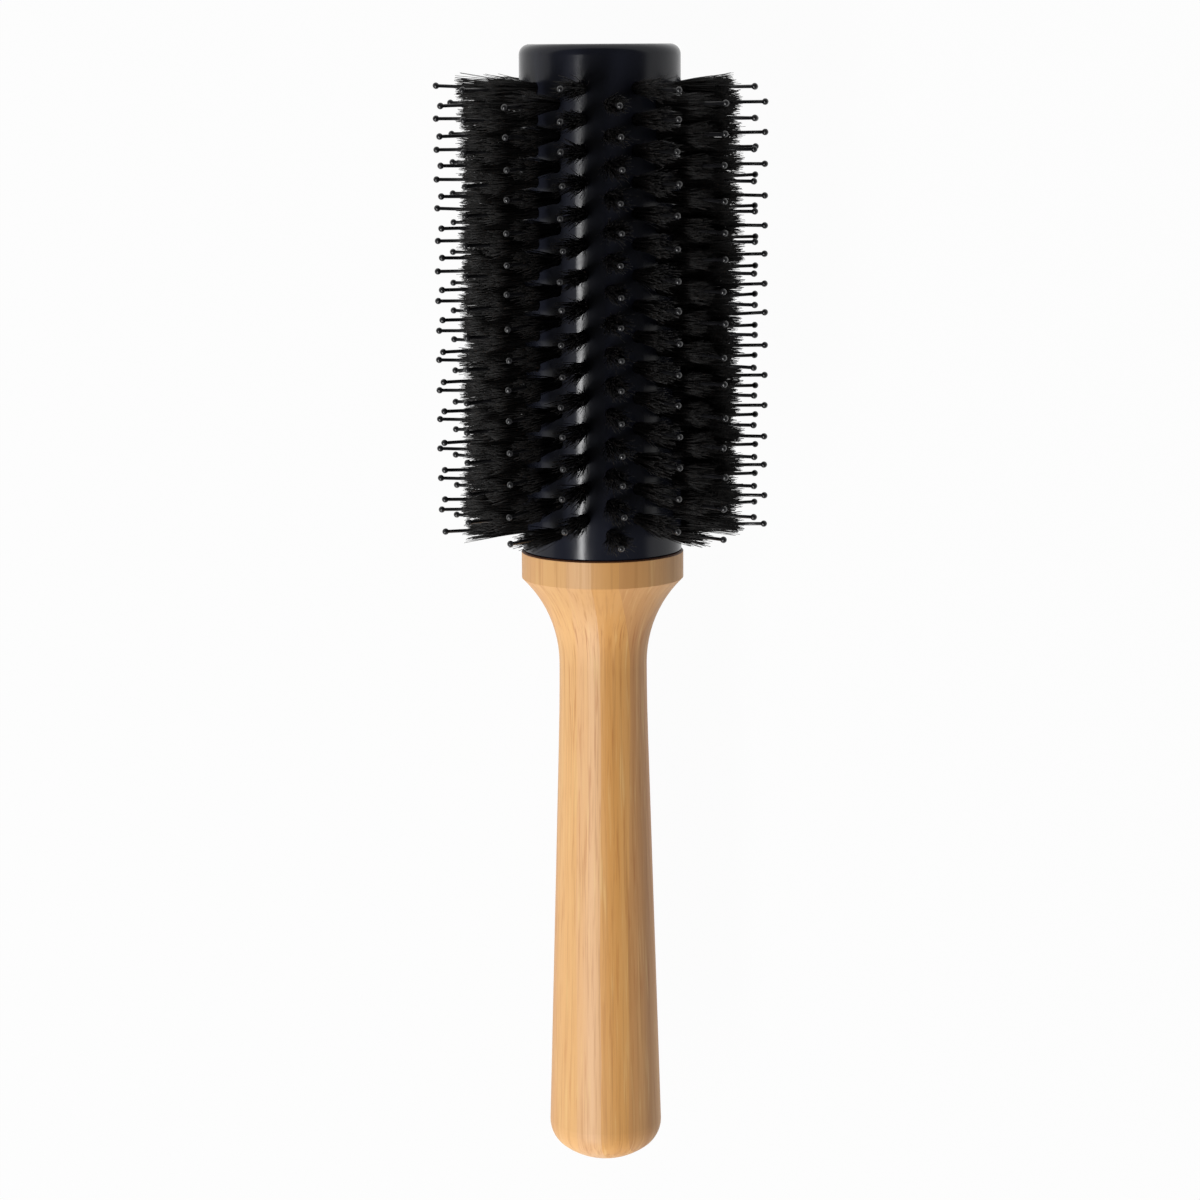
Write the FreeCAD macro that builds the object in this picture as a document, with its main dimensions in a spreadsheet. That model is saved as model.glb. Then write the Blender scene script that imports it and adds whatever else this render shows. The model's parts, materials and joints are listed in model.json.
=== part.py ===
import FreeCAD, Part
import math
import os

import Sketcher

# Round barrel brush lying at rest: its axis runs along Y, barrel end towards +Y, handle butt
# towards -Y. The ball tips of the two lowest pin rows stand on the plane Z = 0, which carries
# the heavy barrel, so the handle hangs clear of the surface. The origin is below the middle
# of the brush's length.
#
# Every turned piece is drawn in its own XY plane, with the brush axis on its Y axis.

# name, value, meaning. Lengths are in millimetres.
DIMENSIONS = [
    ("barrel_radius", 16.9, "turned core that carries the tufts"),
    ("barrel_length", 106.5, "from the joint face to the free end"),
    ("barrel_edge", 2.2, "rounding of the free end"),
    ("joint_chamfer", 0.3, "broken edge on both sides of the joint"),
    ("socket_radius", 6.05, "blind hole for the handle's tenon"),
    ("socket_depth", 18.6, "depth of that hole"),
    ("row_count", 18, "rows of tufts around the barrel"),
    ("tufts_per_row", 15, "tufts along one row"),
    ("tuft_pitch", 6.35, "from tuft to tuft along a row"),
    ("row_stagger", 3.175, "shift of every second row along the axis"),
    ("last_tuft_gap", 5.45, "from the joint face to the nearest tuft"),
    ("hole_radius", 1.3, "tuft hole"),
    ("hole_floor", 11.3, "distance of the tuft hole's floor from the axis"),
    ("anchor_foot", 11.4, "lower edge of the anchor, from the axis"),
    ("anchor_width", 2.4, "flat wire anchor across the hole"),
    ("anchor_thickness", 0.35, "thickness of the flat wire"),
    ("anchor_height", 1.8, "height of the anchor in the hole"),
    ("tuft_foot", 13.4, "lower end of the tuft, from the axis"),
    ("tuft_mouth", 17.1, "where the tuft leaves its hole, from the axis"),
    ("tuft_reach", 29.5, "trimmed end of the tuft, from the axis"),
    ("tuft_root_radius", 1.2, "tuft squeezed in its hole"),
    ("tuft_tip_radius", 3.05, "tuft spread at its trimmed end"),
    ("tuft_core_radius", 0.46, "channel that the pin takes up in the tuft"),
    ("pin_foot", 13.3, "lower end of the pin, from the axis"),
    ("pin_radius", 0.36, "nylon pin"),
    ("ball_radius", 0.7, "rounded bead on the pin's end"),
    ("pin_reach", 35.3, "end of the bead, from the axis"),
    ("handle_length", 135.5, "from the butt to the joint face"),
    ("collar_radius", 17.3, "straight collar beside the joint"),
    ("collar_length", 5.9, "length of that collar"),
    ("flare_radius", 26.0, "hollow between collar and neck"),
    ("neck_radius", 9.4, "thinnest place of the handle"),
    ("waist_radius", 520.0, "slight hollow where the grip leaves the neck"),
    ("butt_radius", 12.2, "thickest place of the grip"),
    ("butt_height", 8.7, "height of the domed butt"),
    ("butt_corner", 6.6, "tighter curve at the side of the dome"),
    ("tenon_radius", 6.0, "spigot glued into the barrel"),
    ("tenon_length", 18.0, "length of that spigot"),
    ("tenon_chamfer", 0.8, "chamfer on the spigot's end"),
]

X_AXIS_LINE = -1
Y_AXIS_LINE = -2
START, END, CENTRE = 1, 2, 3
FULL_TURN = 360

doc = FreeCAD.newDocument("round_barrel_brush")
sizes = doc.addObject("Spreadsheet::Sheet", "sizes")
for line, (name, value, meaning) in enumerate(DIMENSIONS, start=1):
    sizes.set("A%d" % line, name)
    sizes.set("B%d" % line, str(value))
    sizes.set("C%d" % line, meaning)
    sizes.setAlias("B%d" % line, name)
doc.recompute()


# ---- lengths written as sums of sheet names, such as "handle_length - collar_length"


def length(text):
    """The value of such a sum, for a sketch's first position."""
    total = 0.0
    sign = 1
    for word in text.split():
        if word == "-":
            sign = -1
        elif word == "+":
            sign = 1
        else:
            total += sign * float(sizes.get(word))
    return total


def expression(text):
    """The same sum, as an expression that follows the sheet."""
    return " ".join(word if word in "+-" else "sizes." + word for word in text.split())


# ---- sketches


def origin_feature(body, role):
    for feature in body.Origin.OriginFeatures:
        if feature.Role == role:
            return feature
    raise ValueError("no origin feature " + role)


def new_body(label):
    body = doc.addObject("PartDesign::Body", label)
    body.Label = label
    return body


def new_sketch(body, name, plane):
    sketch = body.newObject("Sketcher::SketchObject", name)
    sketch.AttachmentSupport = (origin_feature(body, plane), [""])
    sketch.MapMode = "FlatFace"
    return sketch


def bind(sketch, text, kind, *parts):
    """Add a dimension to the sketch and tie it to the sheet."""
    index = sketch.addConstraint(Sketcher.Constraint(kind, *parts, length(text)))
    sketch.setExpression("Constraints[%d]" % index, expression(text))


def fix_point(sketch, curve, end, across, along):
    """Hold one end of a curve at its two distances from the sketch's origin."""
    if across == "0":
        sketch.addConstraint(Sketcher.Constraint("PointOnObject", curve, end, Y_AXIS_LINE))
    else:
        bind(sketch, across, "DistanceX", -1, 1, curve, end)
    if along == "0":
        sketch.addConstraint(Sketcher.Constraint("PointOnObject", curve, end, X_AXIS_LINE))
    else:
        bind(sketch, along, "DistanceY", -1, 1, curve, end)


def point(across, along):
    x = 0.0 if across == "0" else length(across)
    y = 0.0 if along == "0" else length(along)
    return FreeCAD.Vector(x, y, 0)


def add_line(sketch, start, end):
    return sketch.addGeometry(Part.LineSegment(start, end), False)


def add_arc(sketch, centre, radius, first_angle, last_angle):
    """An arc that runs anticlockwise, its angles in radians."""
    circle = Part.Circle(centre, FreeCAD.Vector(0, 0, 1), radius)
    return sketch.addGeometry(Part.ArcOfCircle(circle, first_angle, last_angle), False)


def join(sketch, curve_a, end_a, curve_b, end_b, kind="Coincident"):
    sketch.addConstraint(Sketcher.Constraint(kind, curve_a, end_a, curve_b, end_b))


def add_chain(sketch, corners):
    """Straight lines from corner to corner, each corner held by the sheet."""
    lines = []
    for start, end in zip(corners, corners[1:]):
        line = add_line(sketch, point(*start), point(*end))
        fix_point(sketch, line, START, *start)
        if lines:
            join(sketch, lines[-1], END, line, START)
        lines.append(line)
    fix_point(sketch, lines[-1], END, *corners[-1])
    return lines


def add_polygon(sketch, corners):
    """A closed outline of straight lines."""
    lines = add_chain(sketch, corners)
    closing = add_line(sketch, point(*corners[-1]), point(*corners[0]))
    join(sketch, lines[-1], END, closing, START)
    join(sketch, closing, END, lines[0], START)


def revolve(body, name, sketch, axis):
    solid = body.newObject("PartDesign::Revolution", name)
    solid.Profile = sketch
    solid.ReferenceAxis = (sketch, [axis])
    solid.Angle = FULL_TURN
    return solid


def repeat_around(body, name, feature):
    """Repeat a feature on every second row around the brush axis."""
    pattern = body.newObject("PartDesign::PolarPattern", name)
    pattern.Originals = [feature]
    pattern.Axis = (origin_feature(body, "Y_Axis"), [""])
    pattern.Angle = FULL_TURN
    pattern.setExpression("Occurrences", "sizes.row_count / 2")
    body.Tip = pattern
    return pattern


def repeat_along(body, name, feature):
    """Repeat a feature at every tuft of one row."""
    pattern = body.newObject("PartDesign::LinearPattern", name)
    pattern.Originals = [feature]
    pattern.Direction = (origin_feature(body, "Y_Axis"), [""])
    pattern.setExpression("Length", "(sizes.tufts_per_row - 1) * sizes.tuft_pitch")
    pattern.setExpression("Occurrences", "sizes.tufts_per_row")
    body.Tip = pattern
    return pattern


# ---- places in the lying brush

AXIS_HEIGHT = (
    "(sizes.pin_reach - sizes.ball_radius) * cos(180 deg / sizes.row_count) + sizes.ball_radius"
)
BUTT_PLACE = "-(sizes.handle_length + sizes.barrel_length) / 2"
JOINT_PLACE = "(sizes.handle_length - sizes.barrel_length) / 2"
FIRST_TUFT_PLACE = JOINT_PLACE + " + sizes.last_tuft_gap"


def place(body, along, turn="0 deg"):
    """Put a body on the brush axis, turned about it."""
    body.Placement = FreeCAD.Placement(
        FreeCAD.Vector(0, 0, 0), FreeCAD.Rotation(FreeCAD.Vector(0, 1, 0), 1)
    )
    body.setExpression("Placement.Base.y", along)
    body.setExpression("Placement.Base.z", AXIS_HEIGHT)
    body.setExpression("Placement.Rotation.Angle", turn)


# ---- handle: one turned piece, from the domed butt to the tenon inside the barrel


def make_handle():
    body = new_body("bamboo_handle")
    sketch = new_sketch(body, "handle_outline", "XY_Plane")

    butt_radius = length("butt_radius")
    butt_height = length("butt_height")
    corner = length("butt_corner")
    flare = length("flare_radius")
    neck = length("neck_radius")
    collar_end = length("handle_length - collar_length")
    neck_height = collar_end - math.sqrt(
        flare**2 - (flare + neck - length("collar_radius")) ** 2
    )
    crown = (butt_radius - corner) ** 2 + butt_height**2 - corner**2
    crown /= 2 * (butt_height - corner)
    crown_turn = math.atan2(butt_radius - corner, crown - butt_height)
    waist = length("waist_radius")
    grip_slope = math.atan((butt_radius - neck) / (neck_height - butt_height))
    collar_turn = math.asin((collar_end - neck_height) / flare)

    crown_centre = FreeCAD.Vector(0, crown, 0)
    crown_arc = add_arc(sketch, crown_centre, crown, -math.pi / 2, crown_turn - math.pi / 2)
    corner_centre = FreeCAD.Vector(butt_radius - corner, butt_height, 0)
    corner_arc = add_arc(sketch, corner_centre, corner, crown_turn - math.pi / 2, 0)
    waist_centre = FreeCAD.Vector(neck + waist, neck_height, 0)
    waist_arc = add_arc(sketch, waist_centre, waist, math.pi, math.pi + grip_slope)
    flare_centre = FreeCAD.Vector(neck + flare, neck_height, 0)
    flare_arc = add_arc(sketch, flare_centre, flare, math.pi - collar_turn, math.pi)
    grip_line = add_line(
        sketch,
        FreeCAD.Vector(butt_radius, butt_height, 0),
        waist_centre + FreeCAD.Vector(-math.cos(grip_slope), -math.sin(grip_slope), 0) * waist,
    )
    straight = add_chain(
        sketch,
        [
            ("collar_radius", "handle_length - collar_length"),
            ("collar_radius", "handle_length - joint_chamfer"),
            ("collar_radius - joint_chamfer", "handle_length"),
            ("tenon_radius", "handle_length"),
            ("tenon_radius", "handle_length + tenon_length - tenon_chamfer"),
            ("tenon_radius - tenon_chamfer", "handle_length + tenon_length"),
            ("0", "handle_length + tenon_length"),
            ("0", "0"),
        ],
    )

    join(sketch, straight[-1], END, crown_arc, START)
    sketch.addConstraint(Sketcher.Constraint("PointOnObject", crown_arc, CENTRE, Y_AXIS_LINE))
    join(sketch, crown_arc, END, corner_arc, START, "Tangent")
    join(sketch, corner_arc, END, grip_line, START, "Tangent")
    join(sketch, grip_line, END, waist_arc, END, "Tangent")
    join(sketch, waist_arc, START, flare_arc, END)
    join(sketch, flare_arc, START, straight[0], START)
    for arc in (waist_arc, flare_arc):
        level = Sketcher.Constraint("Horizontal", arc, CENTRE, flare_arc, END)
        sketch.addConstraint(level)
    bind(sketch, "butt_corner", "Radius", corner_arc)
    bind(sketch, "waist_radius", "Radius", waist_arc)
    bind(sketch, "flare_radius", "Radius", flare_arc)
    bind(sketch, "neck_radius", "DistanceX", -1, 1, flare_arc, END)
    fix_point(sketch, grip_line, START, "butt_radius", "butt_height")

    revolve(body, "handle_turning", sketch, "V_Axis")
    place(body, BUTT_PLACE)
    return body


# ---- barrel: a turned core with a socket for the tenon and 270 blind tuft holes


def barrel_turning(body):
    sketch = new_sketch(body, "barrel_outline", "XY_Plane")
    edge_centre = point("barrel_radius - barrel_edge", "barrel_length - barrel_edge")
    edge_arc = add_arc(sketch, edge_centre, length("barrel_edge"), 0, math.pi / 2)
    straight = add_chain(
        sketch,
        [
            ("barrel_radius - barrel_edge", "barrel_length"),
            ("0", "barrel_length"),
            ("0", "socket_depth"),
            ("socket_radius", "socket_depth"),
            ("socket_radius", "0"),
            ("barrel_radius - joint_chamfer", "0"),
            ("barrel_radius", "joint_chamfer"),
            ("barrel_radius", "barrel_length - barrel_edge"),
        ],
    )
    join(sketch, edge_arc, END, straight[0], START)
    join(sketch, straight[-1], END, edge_arc, START, "Tangent")
    return revolve(body, "barrel_turning", sketch, "V_Axis")


def row_plane_sketch(body, name, floor, stagger):
    """A sketch square to the row's own radius, at a depth given by the sheet."""
    sketch = new_sketch(body, name, "YZ_Plane")
    turn = "360 deg / sizes.row_count" if stagger else "0 deg"
    sketch.AttachmentOffset = FreeCAD.Placement(
        FreeCAD.Vector(0, 0, 0), FreeCAD.Rotation(FreeCAD.Vector(1, 0, 0), 1)
    )
    sketch.setExpression("AttachmentOffset.Rotation.Angle", turn)
    sketch.setExpression("AttachmentOffset.Base.y", "-sizes.%s * sin(%s)" % (floor, turn))
    sketch.setExpression("AttachmentOffset.Base.z", "sizes.%s * cos(%s)" % (floor, turn))
    return sketch


def first_tuft(stagger):
    return "last_tuft_gap + row_stagger" if stagger else "last_tuft_gap"


def drill_row(body, name, stagger):
    """Drill the tuft holes of one row, then of every second row."""
    sketch = row_plane_sketch(body, name + "_holes", "hole_floor", stagger)
    for tuft in range(int(length("tufts_per_row"))):
        centre = point(first_tuft(stagger), "0")
        centre.x += tuft * length("tuft_pitch")
        circle = Part.Circle(centre, FreeCAD.Vector(0, 0, 1), length("hole_radius"))
        hole = sketch.addGeometry(circle, False)
        sketch.addConstraint(Sketcher.Constraint("PointOnObject", hole, CENTRE, X_AXIS_LINE))
        bind(sketch, "hole_radius", "Radius", hole)
        if tuft == 0:
            bind(sketch, first_tuft(stagger), "DistanceX", -1, 1, hole, CENTRE)
        else:
            bind(sketch, "tuft_pitch", "DistanceX", hole - 1, CENTRE, hole, CENTRE)
    drilling = body.newObject("PartDesign::Pocket", name + "_drilling")
    drilling.Profile = sketch
    drilling.Reversed = True
    drilling.setExpression("Length", "sizes.barrel_radius - sizes.hole_floor + 1")
    repeat_around(body, name + "_around", drilling)


def make_barrel():
    body = new_body("barrel_core")
    solid = barrel_turning(body)
    drill_row(body, "even_rows", stagger=False)
    drill_row(body, "odd_rows", stagger=True)
    place(body, JOINT_PLACE)
    return body, solid


# ---- anchors: a flat piece of wire across the floor of every tuft hole


def anchor_row(body, name, stagger):
    sketch = row_plane_sketch(body, name + "_wires", "anchor_foot", stagger)
    half_thickness = length("anchor_thickness") / 2
    half_width = length("anchor_width") / 2
    for tuft in range(int(length("tufts_per_row"))):
        middle = length(first_tuft(stagger)) + tuft * length("tuft_pitch")
        corners = [
            FreeCAD.Vector(middle + side * half_thickness, end * half_width, 0)
            for side, end in ((-1, -1), (1, -1), (1, 1), (-1, 1))
        ]
        sides = [add_line(sketch, corners[i], corners[(i + 1) % 4]) for i in range(4)]
        for i in range(4):
            join(sketch, sides[i], END, sides[(i + 1) % 4], START)
        for side, direction in ((0, "Horizontal"), (2, "Horizontal"), (3, "Vertical")):
            sketch.addConstraint(Sketcher.Constraint(direction, sides[side]))
        centred = Sketcher.Constraint("Symmetric", sides[1], START, sides[1], END, X_AXIS_LINE)
        sketch.addConstraint(centred)
        bind(sketch, "anchor_thickness", "DistanceX", sides[0], START, sides[0], END)
        bind(sketch, "anchor_width", "DistanceY", sides[1], START, sides[1], END)
        if tuft == 0:
            index = sketch.addConstraint(
                Sketcher.Constraint("DistanceX", -1, 1, sides[0], START, corners[0].x)
            )
            start = expression(first_tuft(stagger)) + " - sizes.anchor_thickness / 2"
            sketch.setExpression("Constraints[%d]" % index, start)
        else:
            bind(sketch, "tuft_pitch", "DistanceX", sides[0] - 4, START, sides[0], START)
    wires = body.newObject("PartDesign::Pad", name + "_pad")
    wires.Profile = sketch
    wires.setExpression("Length", "sizes.anchor_height")
    repeat_around(body, name + "_around", wires)


def make_anchors():
    body = new_body("tuft_anchors")
    anchor_row(body, "even_rows", stagger=False)
    anchor_row(body, "odd_rows", stagger=True)
    place(body, JOINT_PLACE)
    return body


# ---- one row of boar tufts and one row of ball-tipped pins, along the row's own radius


def place_row(body, row):
    along = FIRST_TUFT_PLACE
    if row % 2:
        along += " + sizes.row_stagger"
    place(body, along, "%d * 360 deg / sizes.row_count" % row)


def make_tuft_row(row):
    body = new_body("boar_tufts_row_%02d" % (row + 1))
    sketch = new_sketch(body, "tuft_outline", "XY_Plane")
    add_polygon(
        sketch,
        [
            ("tuft_foot", "tuft_core_radius"),
            ("tuft_foot", "tuft_root_radius"),
            ("tuft_mouth", "tuft_root_radius"),
            ("tuft_reach", "tuft_tip_radius"),
            ("tuft_reach", "tuft_core_radius"),
        ],
    )
    tuft = revolve(body, "tuft", sketch, "H_Axis")
    repeat_along(body, "tuft_row", tuft)
    place_row(body, row)
    return body


def make_pin_row(row):
    body = new_body("nylon_pins_row_%02d" % (row + 1))
    sketch = new_sketch(body, "pin_outline", "XY_Plane")
    ball = length("ball_radius")
    shaft_turn = math.asin(length("pin_radius") / ball)
    ball_centre = point("pin_reach - ball_radius", "0")
    bead = add_arc(sketch, ball_centre, ball, 0, math.pi - shaft_turn)
    neck = length("pin_reach - ball_radius") - ball * math.cos(shaft_turn)
    shaft = add_chain(
        sketch,
        [
            ("pin_reach", "0"),
            ("pin_foot", "0"),
            ("pin_foot", "pin_radius"),
        ],
    )
    side = add_line(
        sketch, point("pin_foot", "pin_radius"), FreeCAD.Vector(neck, length("pin_radius"), 0)
    )
    join(sketch, shaft[-1], END, side, START)
    join(sketch, side, END, bead, END)
    join(sketch, bead, START, shaft[0], START)
    sketch.addConstraint(Sketcher.Constraint("Horizontal", side))
    sketch.addConstraint(Sketcher.Constraint("PointOnObject", bead, CENTRE, X_AXIS_LINE))
    bind(sketch, "ball_radius", "Radius", bead)
    pin = revolve(body, "pin", sketch, "H_Axis")
    repeat_along(body, "pin_row", pin)
    place_row(body, row)
    return body


# ---- the brush


def check(bodies, barrel_blank):
    """Stop if any object failed or any sub-part isn't a valid solid."""
    for item in doc.Objects:
        if "Invalid" in item.State or "Error" in item.State:
            raise RuntimeError("%s failed: %s" % (item.Label, item.State))
    for body in bodies:
        if body.Shape.isNull() or not body.Shape.isValid() or not body.Shape.Solids:
            raise RuntimeError("no valid solid in " + body.Label)
    barrel = bodies[1]
    holes = length("row_count") * length("tufts_per_row")
    depth = length("barrel_radius - hole_floor")
    drilled = holes * math.pi * length("hole_radius") ** 2 * depth
    removed = barrel_blank.Shape.Volume - barrel.Shape.Volume
    if abs(removed - drilled) > 0.02 * drilled:
        raise RuntimeError("the tuft holes remove %.0f mm3, not %.0f" % (removed, drilled))


def main():
    barrel, barrel_blank = make_barrel()
    bodies = [make_handle(), barrel, make_anchors()]
    for row in range(int(length("row_count"))):
        bodies.append(make_tuft_row(row))
        bodies.append(make_pin_row(row))
    doc.recompute()
    check(bodies, barrel_blank)
    os.makedirs("parts", exist_ok=True)
    for body in bodies:
        body.Shape.exportStep("parts/%s.step" % body.Label)
        print(body.Label, len(body.Shape.Solids), "solids", round(body.Shape.Volume, 1), "mm3")


main()
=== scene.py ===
import json
import math

import bpy
import numpy as np
from mathutils import Matrix, Vector


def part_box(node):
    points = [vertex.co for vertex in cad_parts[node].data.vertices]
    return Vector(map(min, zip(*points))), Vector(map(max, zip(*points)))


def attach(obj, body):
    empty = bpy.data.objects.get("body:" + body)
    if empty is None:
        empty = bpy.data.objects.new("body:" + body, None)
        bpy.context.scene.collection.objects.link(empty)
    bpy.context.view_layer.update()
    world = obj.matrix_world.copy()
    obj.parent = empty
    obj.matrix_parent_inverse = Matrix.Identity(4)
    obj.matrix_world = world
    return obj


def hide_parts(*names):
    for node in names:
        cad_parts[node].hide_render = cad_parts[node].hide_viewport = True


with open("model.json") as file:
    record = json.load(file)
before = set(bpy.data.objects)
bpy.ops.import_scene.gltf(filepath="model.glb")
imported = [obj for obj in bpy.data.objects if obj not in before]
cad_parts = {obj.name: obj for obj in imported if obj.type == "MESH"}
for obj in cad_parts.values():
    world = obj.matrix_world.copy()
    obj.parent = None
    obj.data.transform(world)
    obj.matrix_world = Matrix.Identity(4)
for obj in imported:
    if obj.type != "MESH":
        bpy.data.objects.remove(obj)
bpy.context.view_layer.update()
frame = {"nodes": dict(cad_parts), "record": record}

MM = 0.001

# ---- places taken from the CAD frame, in metres

mounts = {mount["name"]: mount for mount in frame["record"]["mounts"]}
AXIS_HEIGHT = mounts["barrel_end_face"]["pos_m"][2]
barrel_low, barrel_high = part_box("barrel_core")
JOINT_Y = barrel_low.y
BARREL_RADIUS = barrel_high.x
TUFT_ROWS = sorted(name for name in frame["nodes"] if name.startswith("boar_tufts_row_"))
PIN_ROWS = sorted(name for name in frame["nodes"] if name.startswith("nylon_pins_row_"))
ROW_TURN = 2 * math.pi / len(PIN_ROWS)
TUFTS_PER_ROW = 15
TUFT_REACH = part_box(TUFT_ROWS[0])[1].x
PIN_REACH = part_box(PIN_ROWS[0])[1].x
PIN_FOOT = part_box(PIN_ROWS[0])[0].x
BEAD_RADIUS = (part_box(PIN_ROWS[0])[1].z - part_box(PIN_ROWS[0])[0].z) / 2

random = np.random.default_rng(18)


# ---- node materials


def new_material(name):
    """A material with its Principled shader and a short way to add nodes."""
    material = bpy.data.materials.new(name)
    material.use_nodes = True
    tree = material.node_tree
    shader = tree.nodes["Principled BSDF"]

    def add(kind, inputs=None, **settings):
        node = tree.nodes.new("ShaderNode" + kind)
        for key, value in settings.items():
            setattr(node, key, value)
        for socket, value in (inputs or {}).items():
            if isinstance(value, bpy.types.NodeSocket):
                tree.links.new(value, node.inputs[socket])
            else:
                node.inputs[socket].default_value = value
        return node

    def drive(socket, value):
        tree.links.new(value, shader.inputs[socket])

    return material, shader, add, drive


def object_millimetres(add, stretch=(1.0, 1.0, 1.0)):
    """Object coordinates in millimetres, scaled for noise that runs along the brush."""
    coordinates = add("TexCoord").outputs["Object"]
    scale = tuple(factor / MM for factor in stretch)
    return add("Mapping", {"Vector": coordinates, "Scale": scale}).outputs["Vector"]


def noise(add, stretch, detail=3.0, roughness=0.55):
    place = object_millimetres(add, stretch)
    node = add("TexNoise", {"Vector": place, "Scale": 1.0, "Detail": detail, "Roughness": roughness})
    return node.outputs["Fac"]


def spread(add, value, low, high, to_low=0.0, to_high=1.0):
    """Stretch the part of a value between low and high over a new range."""
    inputs = {
        "Value": value,
        "From Min": low,
        "From Max": high,
        "To Min": to_low,
        "To Max": to_high,
    }
    return add("MapRange", inputs).outputs["Result"]


def maths(add, operation, first, second=0.0):
    return add("Math", {0: first, 1: second}, operation=operation).outputs["Value"]


def mix_colour(add, amount, first, second, blend="MIX"):
    node = add("Mix", data_type="RGBA", blend_type=blend)
    for socket, value in ((0, amount), (6, first), (7, second)):
        if isinstance(value, bpy.types.NodeSocket):
            node.id_data.links.new(value, node.inputs[socket])
        else:
            node.inputs[socket].default_value = value
    return node.outputs[2]


def bump(add, drive, value, depth, strength=1.0):
    node = add("Bump", {"Height": value, "Distance": depth, "Strength": strength})
    drive("Normal", node.outputs["Normal"])


def srgb(red, green, blue):
    """A display colour, 0 to 255, as the linear colour that a shader takes."""
    channels = []
    for channel in (red, green, blue):
        part = channel / 255
        channels.append(part / 12.92 if part <= 0.04045 else ((part + 0.055) / 1.055) ** 2.4)
    return (*channels, 1.0)


# ---- bamboo: glued strips that run along the handle, with long fine fibres

# Lengths in millimetres. STRIP_EDGE is where the fourth strip starts, measured across the strips.
STRIP_WIDTH = 5.5
STRIP_EDGE = 1.9
STRIPS_BEFORE_EDGE = 3
STRIP_TURN = math.radians(12)
STRIP_TONES = [
    srgb(199, 149, 99),
    srgb(207, 161, 107),
    srgb(207, 162, 116),
    srgb(199, 144, 79),
    srgb(181, 128, 76),
    srgb(181, 132, 85),
    srgb(188, 141, 89),
]
FIBRE_GOLD = srgb(211, 163, 104)
FIBRE_BROWN = srgb(155, 102, 53)
DASH_BROWN = srgb(162, 95, 42)
STREAK_PALE = srgb(216, 180, 122)
TURNED_TONE = srgb(186, 141, 88)
SEAM_BROWN = srgb(84, 46, 24)
GRIP_RADIUS = 10.0
CORE_RADIUS = 3.0
FLARE_START = 10.5
DASHES_FADED = 13.5
TURNED_FULL = 14.0
SEAM_START = 0.4
SEAM_FULL = 0.2


def brush_place(add):
    """Millimetres across the brush, along it and above its axis, each on its own."""
    part = add("SeparateXYZ", {0: object_millimetres(add)})
    height = maths(add, "SUBTRACT", part.outputs["Z"], AXIS_HEIGHT / MM)
    return part.outputs["X"], part.outputs["Y"], height


def section_place(add):
    """The place across the brush as a vector from its axis, and its length."""
    across, _, height = brush_place(add)
    section = add("CombineXYZ", {0: across, 2: height}).outputs[0]
    return section, add("VectorMath", {0: section}, operation="LENGTH").outputs["Value"]


def fibre_noise(add, fine, along, detail=2.0, roughness=0.55):
    """Noise whose streaks stay lengthwise, however wide the handle is turned."""
    section, radius = section_place(add)
    distance = brush_place(add)[1]
    size = fine * (GRIP_RADIUS + CORE_RADIUS)
    shrink = maths(add, "DIVIDE", size, maths(add, "ADD", radius, CORE_RADIUS))
    section = add("VectorMath", {0: section, "Scale": shrink}, operation="SCALE").outputs[0]
    length = add("CombineXYZ", {1: maths(add, "MULTIPLY", distance, along)}).outputs[0]
    place = add("VectorMath", {0: section, 1: length}, operation="ADD").outputs[0]
    node = add("TexNoise", {"Vector": place, "Scale": 1.0, "Detail": detail, "Roughness": roughness})
    return node.outputs["Fac"]


def strip_tone(add):
    """One tone per glued strip; the strips are flat boards that stand a little askew."""
    across, _, height = brush_place(add)
    flat = maths(add, "MULTIPLY", across, math.cos(STRIP_TURN))
    askew = maths(add, "MULTIPLY", height, math.sin(STRIP_TURN))
    wander = spread(add, noise(add, (0.0, 0.02, 0.05)), 0.3, 0.7, -0.3, 0.3)
    board = maths(add, "ADD", maths(add, "ADD", flat, askew), wander)
    first_edge = STRIP_EDGE - STRIPS_BEFORE_EDGE * STRIP_WIDTH
    last_edge = first_edge + len(STRIP_TONES) * STRIP_WIDTH
    ramp = add("ValToRGB", {"Fac": spread(add, board, first_edge, last_edge)})
    ramp.color_ramp.interpolation = "CONSTANT"
    stops = ramp.color_ramp.elements
    stops.remove(stops[-1])
    stops[0].color = STRIP_TONES[0]
    for index, tone in enumerate(STRIP_TONES[1:], start=1):
        stops.new(index / len(STRIP_TONES)).color = tone
    return ramp.outputs["Color"]


def bamboo_tone(add, fibres):
    """Strip tones under bands, fibres, short dashes and pale streaks; the flare is calmer."""
    radius = section_place(add)[1]
    tone = strip_tone(add)
    bands = fibre_noise(add, 0.45, 0.012)
    tone = mix_colour(add, spread(add, bands, 0.4, 0.7, 0.0, 0.5), tone, FIBRE_GOLD)
    tone = mix_colour(add, spread(add, fibres, 0.5, 0.7, 0.0, 0.5), tone, FIBRE_BROWN)
    calm = spread(add, radius, FLARE_START, DASHES_FADED, 1.0, 0.15)
    dashes = spread(add, fibre_noise(add, 2.0, 0.07), 0.58, 0.68, 0.0, 0.4)
    tone = mix_colour(add, maths(add, "MULTIPLY", dashes, calm), tone, DASH_BROWN)
    streaks = fibre_noise(add, 1.5, 0.045)
    tone = mix_colour(add, spread(add, streaks, 0.58, 0.7, 0.0, 0.42), tone, STREAK_PALE)
    turned = spread(add, radius, FLARE_START, TURNED_FULL, 0.0, 0.42)
    return mix_colour(add, turned, tone, TURNED_TONE)


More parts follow.
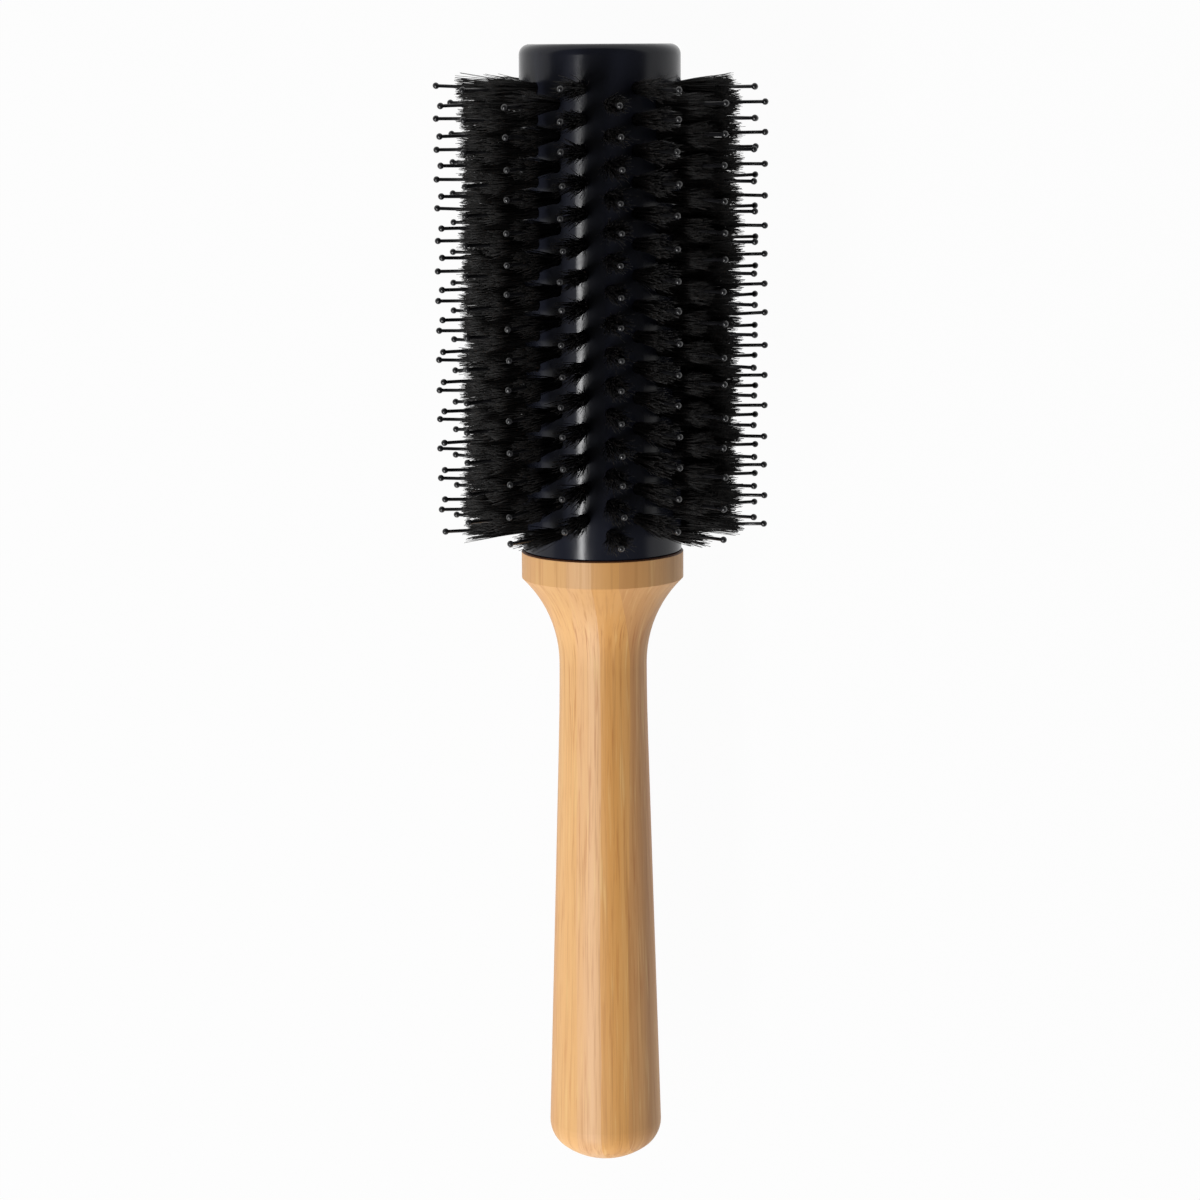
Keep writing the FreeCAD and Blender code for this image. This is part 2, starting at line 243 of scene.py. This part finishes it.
def bamboo():
    material, shader, add, drive = new_material("bamboo")
    fibres = fibre_noise(add, 2.0, 0.03, detail=4.0, roughness=0.65)
    distance = brush_place(add)[1]
    seam = spread(add, distance, JOINT_Y / MM - SEAM_START, JOINT_Y / MM - SEAM_FULL)
    drive("Base Color", mix_colour(add, seam, bamboo_tone(add, fibres), SEAM_BROWN))
    drive("Roughness", spread(add, fibres, 0.3, 0.7, 0.46, 0.58))
    bump(add, drive, fibres, 0.02 * MM, 0.4)
    shader.inputs["Coat Weight"].default_value = 0.03
    shader.inputs["Coat Roughness"].default_value = 0.3
    shader.inputs["Specular IOR Level"].default_value = 0.36
    return material


# ---- the other materials


def black_lacquer():
    material, shader, add, drive = new_material("black_lacquer")
    clouds = noise(add, (0.08, 0.05, 0.08))
    drive("Base Color", mix_colour(add, clouds, srgb(20, 21, 28), srgb(27, 29, 38)))
    smears = noise(add, (0.5, 0.2, 0.5), detail=5.0)
    drive("Roughness", spread(add, smears, 0.3, 0.7, 0.17, 0.24))
    bump(add, drive, noise(add, (0.9, 0.9, 0.9), detail=2.0), 0.02 * MM, 0.3)
    shader.inputs["Specular IOR Level"].default_value = 0.25
    return material


def boar_bristle():
    material, shader, add, drive = new_material("boar_bristle")
    hairs = noise(add, (1.6, 1.6, 1.6), detail=2.0)
    tone = mix_colour(add, hairs, srgb(5, 5, 6), srgb(20, 18, 17))
    ends = noise(add, (2.8, 2.8, 2.8), detail=1.0)
    tone = mix_colour(add, spread(add, ends, 0.64, 0.74, 0.0, 0.5), tone, srgb(74, 54, 40))
    drive("Base Color", tone)
    drive("Roughness", spread(add, hairs, 0.3, 0.7, 0.5, 0.66))
    bump(add, drive, noise(add, (9.0, 9.0, 9.0), detail=1.0), 0.01 * MM, 0.4)
    shader.inputs["Specular IOR Level"].default_value = 0.34
    return material


def black_nylon():
    material, shader, add, drive = new_material("black_nylon")
    clouds = noise(add, (0.9, 0.9, 0.9))
    drive("Base Color", mix_colour(add, clouds, srgb(10, 10, 11), srgb(26, 26, 29)))
    drive("Roughness", spread(add, clouds, 0.3, 0.7, 0.26, 0.36))
    bump(add, drive, noise(add, (6.0, 6.0, 6.0), detail=1.0), 0.01 * MM, 0.3)
    shader.inputs["Specular IOR Level"].default_value = 0.5
    return material


def anchor_wire():
    material, shader, add, drive = new_material("anchor_wire")
    marks = noise(add, (1.2, 4.0, 1.2), detail=4.0)
    drive("Base Color", mix_colour(add, marks, srgb(196, 160, 92), srgb(150, 116, 62)))
    drive("Roughness", spread(add, marks, 0.3, 0.7, 0.25, 0.5))
    shader.inputs["Metallic"].default_value = 1.0
    return material


def dress_node(name, material):
    mesh = frame["nodes"][name].data
    mesh.materials.clear()
    mesh.materials.append(material)


# ---- bristles and pins: thin tubes that leave the barrel along each row's radius


def tube_mesh(name, paths, radii, side_a, side_b, sides):
    """One mesh of closed tubes.

    paths is (tubes, rings, 3), radii (tubes, rings); side_a and side_b are square to the tubes.
    """
    tubes, rings = radii.shape
    angle = np.arange(sides) * 2 * math.pi / sides
    ring = np.cos(angle)[:, None] * side_a + np.sin(angle)[:, None] * side_b
    points = paths[:, :, None, :] + radii[:, :, None, None] * ring[None, None, :, :]
    corner = np.arange(sides)
    after = np.roll(corner, -1)
    faces = []
    for tube in range(tubes):
        start = tube * rings * sides
        for level in range(rings - 1):
            low = start + level * sides
            high = low + sides
            faces += zip(
                (low + corner).tolist(),
                (low + after).tolist(),
                (high + after).tolist(),
                (high + corner).tolist(),
            )
        faces.append((start + corner[::-1]).tolist())
        faces.append((start + (rings - 1) * sides + corner).tolist())
    mesh = bpy.data.meshes.new(name)
    mesh.from_pydata(points.reshape(-1, 3).tolist(), [], faces)
    mesh.polygons.foreach_set("use_smooth", [True] * len(mesh.polygons))
    mesh.update()
    return mesh


def add_row(name, mesh, material, node):
    mesh.materials.append(material)
    piece = bpy.data.objects.new(name, mesh)
    bpy.context.scene.collection.objects.link(piece)
    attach(piece, "root")
    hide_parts(node)


def row_frame(row):
    """The row's outward direction and its two square directions."""
    turn = row * ROW_TURN
    outward = np.array([math.cos(turn), 0.0, -math.sin(turn)])
    along = np.array([0.0, 1.0, 0.0])
    around = np.cross(outward, along)
    return outward, along, around


def place_paths(distance, side_a, side_b, row_axes):
    """Points from a distance along the row's radius and two offsets square to it."""
    outward, along, around = row_axes
    paths = (
        distance[:, :, None] * outward
        + side_a[:, :, None] * along
        + side_b[:, :, None] * around
    )
    paths[:, :, 2] += AXIS_HEIGHT
    return paths


def tuft_places(row):
    """Where the row's tufts stand on the brush axis."""
    low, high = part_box(PIN_ROWS[row])
    first = low.y + BEAD_RADIUS
    last = high.y - BEAD_RADIUS
    return np.linspace(first, last, TUFTS_PER_ROW)


STRANDS = 170
STRAND_RADIUS = 0.1 * MM
STRAND_RINGS = 5
STRAND_SIDES = 3
STRAND_TIP = 0.55
HOLE_RADIUS = 1.15 * MM
TUFT_FOOT = 14.0 * MM
FAN_ALONG = 0.86
FAN_AROUND = 1.15
OPENING = 1.15


def strand_paths(places, row_axes):
    """Bristles that leave each hole side by side, fan out and end unevenly."""
    count = len(places) * STRANDS
    root_turn = random.uniform(0, 2 * math.pi, count)
    root_out = np.sqrt(random.uniform(0, 1, count))
    tuft_fan = np.repeat(random.normal(0.97, 0.09, len(places)).clip(0.78, 1.12), STRANDS)
    fan = random.normal(2.8, 0.55, count).clip(0.9, 3.6) * tuft_fan * MM
    root_a = root_out * np.cos(root_turn)
    root_b = root_out * np.sin(root_turn)
    tip_a = root_a * fan * FAN_ALONG + random.normal(0, 0.28, count) * MM
    tip_b = root_b * fan * FAN_AROUND + random.normal(0, 0.35, count) * MM
    tuft_trim = np.repeat(random.normal(-0.3, 0.3, len(places)).clip(-1.0, 0.4), STRANDS)
    trim = tuft_trim + random.normal(-0.3, 0.65, count)
    reach = TUFT_REACH + trim.clip(-2.6, 0.9) * MM
    bow_a = random.normal(0, 0.16, count) * MM
    bow_b = random.normal(0, 0.16, count) * MM
    step = np.linspace(0, 1, STRAND_RINGS)
    distance = TUFT_FOOT + (reach - TUFT_FOOT)[:, None] * step
    free = (distance - BARREL_RADIUS) / (reach - BARREL_RADIUS)[:, None]
    opened = free.clip(0, 1) ** OPENING
    arch = np.sin(math.pi * opened)
    side_a = (root_a * HOLE_RADIUS)[:, None] * (1 - opened) + tip_a[:, None] * opened
    side_b = (root_b * HOLE_RADIUS)[:, None] * (1 - opened) + tip_b[:, None] * opened
    side_a = side_a + bow_a[:, None] * arch + np.repeat(places, STRANDS)[:, None]
    side_b = side_b + bow_b[:, None] * arch
    thickness = random.normal(1.0, 0.15, count).clip(0.6, 1.4) * STRAND_RADIUS
    taper = np.linspace(1.0, STRAND_TIP, STRAND_RINGS)
    return place_paths(distance, side_a, side_b, row_axes), thickness[:, None] * taper


def make_tuft_row(row, node, material):
    row_axes = row_frame(row)
    paths, radii = strand_paths(tuft_places(row), row_axes)
    along, around = row_axes[1:]
    mesh = tube_mesh(node + "_strands", paths, radii, along, around, STRAND_SIDES)
    add_row(node + "_strands", mesh, material, node)


PIN_RADIUS = 0.36 * MM
PIN_SIDES = 12
SHAFT_RINGS = 5
BEAD_RINGS = 9
BEAD_CAP = 0.12
PIN_BEND = 1.6


def make_pin_row(row, node, material):
    """Nylon pins, each a little bent, with a bead on its end."""
    row_axes = row_frame(row)
    places = tuft_places(row)
    count = len(places)
    first_turn = math.asin(PIN_RADIUS / BEAD_RADIUS)
    bead_turn = np.linspace(first_turn, math.pi - BEAD_CAP, BEAD_RINGS)
    bead_along = -np.cos(bead_turn) * BEAD_RADIUS
    bead_width = np.sin(bead_turn) * BEAD_RADIUS
    centre = PIN_REACH - BEAD_RADIUS - random.uniform(0.07, 0.2, count) * MM
    neck = centre + bead_along[0]
    shaft = PIN_FOOT + (neck - PIN_FOOT)[:, None] * np.linspace(0, 1, SHAFT_RINGS + 1)[:-1]
    distance = np.concatenate([shaft, centre[:, None] + bead_along], axis=1)
    radii = np.concatenate([np.full(SHAFT_RINGS, PIN_RADIUS), bead_width])
    free = ((distance - BARREL_RADIUS) / (PIN_REACH - BARREL_RADIUS)).clip(0, 1)
    lean_a = random.normal(0, 0.3, count).clip(-0.7, 0.7) * MM
    lean_b = random.normal(0, 0.2, count).clip(-0.4, 0.4) * MM
    bend = free**PIN_BEND
    side_a = places[:, None] + lean_a[:, None] * bend
    side_b = lean_b[:, None] * bend
    paths = place_paths(distance, side_a, side_b, row_axes)
    along, around = row_axes[1:]
    radii = np.tile(radii, (count, 1))
    mesh = tube_mesh(node + "_bent", paths, radii, along, around, PIN_SIDES)
    add_row(node + "_bent", mesh, material, node)


# ---- floor, light and camera

WHITE = 0.97
DARK = 0.08
CEILING_START = 0.2
CEILING_DARK = 0.4


def make_floor():
    material, shader = new_material("pale_floor")[:2]
    shader.inputs["Base Color"].default_value = (0.01, 0.01, 0.01, 1.0)
    shader.inputs["Roughness"].default_value = 0.9
    shader.inputs["Specular IOR Level"].default_value = 0.0
    shader.inputs["Emission Color"].default_value = (1.0, 1.0, 1.0, 1.0)
    shader.inputs["Emission Strength"].default_value = WHITE
    bpy.ops.mesh.primitive_plane_add(size=8.0)
    floor = bpy.context.object
    floor.name = "floor"
    floor.data.materials.append(material)


def add_softbox(name, turn, lean, distance, width, length, power):
    """A soft light over the brush: turned to its right (+) or left (-), leaning along it."""
    direction = Vector(
        (math.sin(turn) * math.cos(lean), math.sin(lean), math.cos(turn) * math.cos(lean))
    )
    data = bpy.data.lights.new(name, "AREA")
    data.shape = "RECTANGLE"
    data.size = width
    data.size_y = length
    data.energy = power
    light = bpy.data.objects.new(name, data)
    light.location = Vector((0, 0, AXIS_HEIGHT)) + direction * distance
    light.rotation_mode = "QUATERNION"
    side = Vector((0, 1, 0)).cross(direction).normalized()
    up = direction.cross(side)
    light.rotation_quaternion = Matrix((side, up, direction)).transposed().to_quaternion()
    bpy.context.scene.collection.objects.link(light)


def make_world():
    """A white room with a dark ceiling, so that the black lacquer stays dark from above."""
    world = bpy.data.worlds.new("studio")
    world.use_nodes = True
    tree = world.node_tree
    direction = tree.nodes.new("ShaderNodeSeparateXYZ")
    tree.links.new(tree.nodes.new("ShaderNodeTexCoord").outputs["Generated"], direction.inputs[0])
    ceiling = tree.nodes.new("ShaderNodeMapRange")
    ceiling.interpolation_type = "SMOOTHSTEP"
    ceiling.inputs["From Min"].default_value = CEILING_START
    ceiling.inputs["From Max"].default_value = CEILING_DARK
    ceiling.inputs["To Min"].default_value = WHITE
    ceiling.inputs["To Max"].default_value = DARK
    tree.links.new(direction.outputs["Z"], ceiling.inputs["Value"])
    background = tree.nodes["Background"]
    background.inputs["Color"].default_value = (1.0, 1.0, 1.0, 1.0)
    tree.links.new(ceiling.outputs["Result"], background.inputs["Strength"])
    bpy.context.scene.world = world


CAMERA_TILT = math.radians(9.8)
CAMERA_ORBIT = math.radians(3.2)
CAMERA_ROLL = math.radians(0.334)
CAMERA_DISTANCE = 686.7 * MM
CAMERA_LENS = 96.0
SENSOR_WIDTH = 36.0
TARGET_BELOW_JOINT = 11.1 * MM
TARGET_LEFT = 0.6 * MM


def make_camera():
    """Almost straight above the brush, tilted to its barrel end and a little to its right."""
    orbit = Matrix.Rotation(CAMERA_ORBIT, 3, "Y")
    side = orbit @ Vector((1, 0, 0))
    target = Vector((0, JOINT_Y - TARGET_BELOW_JOINT, AXIS_HEIGHT)) - side * TARGET_LEFT
    back = orbit @ Vector((0, math.sin(CAMERA_TILT), math.cos(CAMERA_TILT)))
    axis_up = orbit @ Vector((0, math.cos(CAMERA_TILT), -math.sin(CAMERA_TILT)))
    right = side * math.cos(CAMERA_ROLL) - axis_up * math.sin(CAMERA_ROLL)
    up = back.cross(right)
    camera = bpy.data.objects.new("camera", bpy.data.cameras.new("camera"))
    camera.data.lens = CAMERA_LENS
    camera.data.sensor_width = SENSOR_WIDTH
    camera.location = target + back * CAMERA_DISTANCE
    camera.rotation_mode = "QUATERNION"
    camera.rotation_quaternion = Matrix((right, up, back)).transposed().to_quaternion()
    bpy.context.scene.collection.objects.link(camera)
    bpy.context.scene.camera = camera


# ---- the brush

make_camera()
make_world()
add_softbox(
    "key_left",
    turn=math.radians(-27),
    lean=math.radians(-26),
    distance=1.2,
    width=0.15,
    length=1.2,
    power=18.8,
)
make_floor()
bpy.context.scene.view_settings.view_transform = "Standard"

dress_node("bamboo_handle", bamboo())
dress_node("barrel_core", black_lacquer())
dress_node("tuft_anchors", anchor_wire())
bristle = boar_bristle()
nylon = black_nylon()
for row_index, node_name in enumerate(TUFT_ROWS):
    make_tuft_row(row_index, node_name, bristle)
for row_index, node_name in enumerate(PIN_ROWS):
    make_pin_row(row_index, node_name, nylon)
